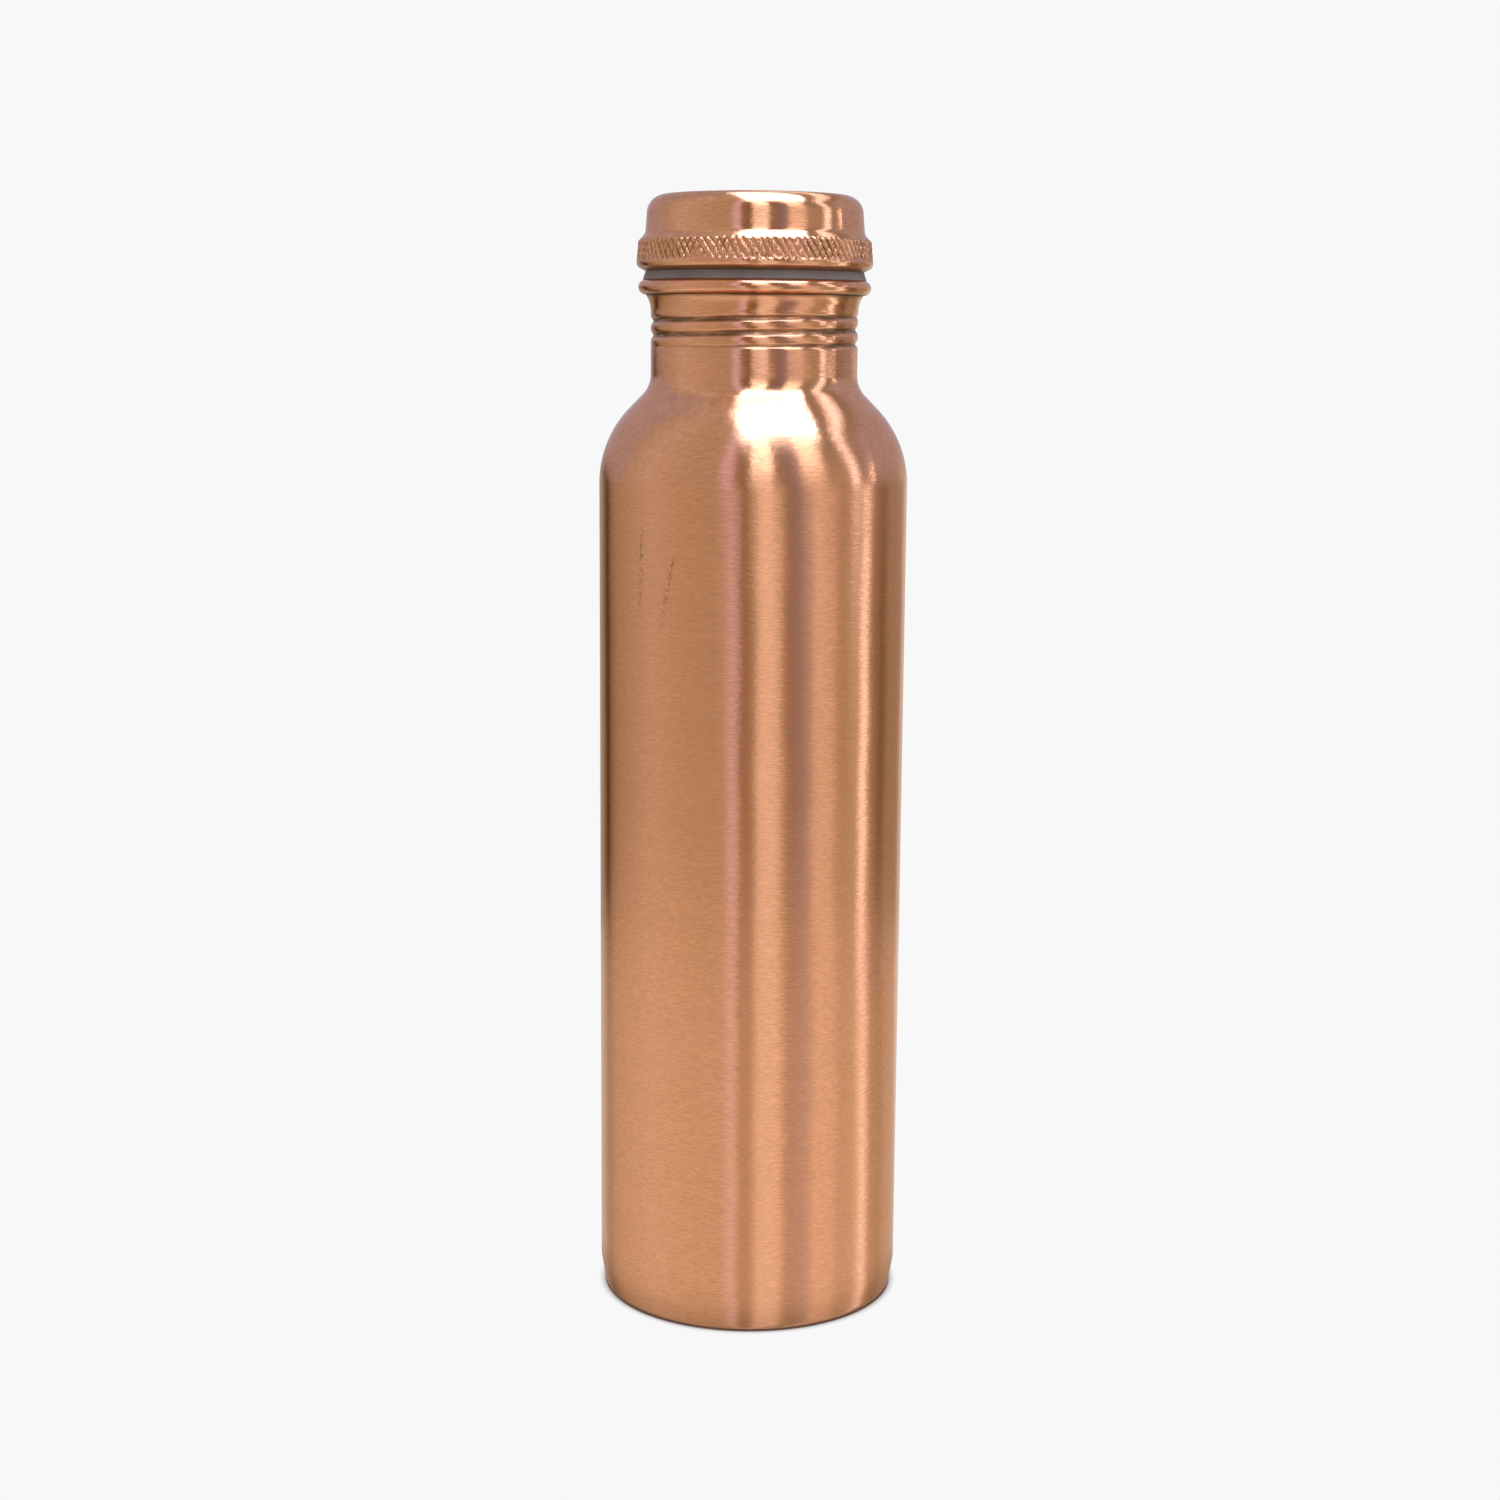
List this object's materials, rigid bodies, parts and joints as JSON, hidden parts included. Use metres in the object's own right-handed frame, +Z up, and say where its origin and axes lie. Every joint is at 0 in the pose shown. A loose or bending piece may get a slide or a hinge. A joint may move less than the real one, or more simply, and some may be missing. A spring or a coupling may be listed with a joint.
{
  "type": "water bottle",
  "caption": "Slim copper water bottle with a rounded shoulder, rolled screw neck and a screw cap with a knurled grip band.",
  "frame": {"origin": "centre of the foot ring, on the surface the bottle stands on", "axes": "+Z up along the bottle's axis and out through the cap; the bottle is round, and the thread alone sets +X, where its crest stands 0.3 mm under the bottom of the threaded band"},
  "size_m": [0.072, 0.072, 0.2619],
  "materials": {
    "body_copper": "brushed copper, satin",
    "base_copper": "pressed copper, satin",
    "seal_rubber": "dull grey silicone",
    "cap_copper": "brushed copper, polished on the grip band",
    "plug_copper": "pressed copper, satin"
  },
  "bodies": {
    "bottle": {"bottle_body": "body_copper", "base_plate": "base_copper"},
    "seal": {"seal_ring": "seal_rubber"},
    "cap": {"cap_shell": "cap_copper", "cap_plug": "plug_copper"}
  },
  "joints": [
    {"name": "cap_rise", "type": "slide", "parent": "bottle", "child": "seal", "axis": [0, 0, 1], "range_m": [0, 0.0198]},
    {"name": "cap_turn", "type": "hinge", "parent": "seal", "child": "cap", "pos_m": [0, 0, 0.2439], "axis": [0, 0, 1], "range_deg": [0, 2160]}
  ],
  "couplings": [
    {"joint": "cap_rise", "follows": "cap_turn", "m_per_rad": 0.00052521}
  ]
}
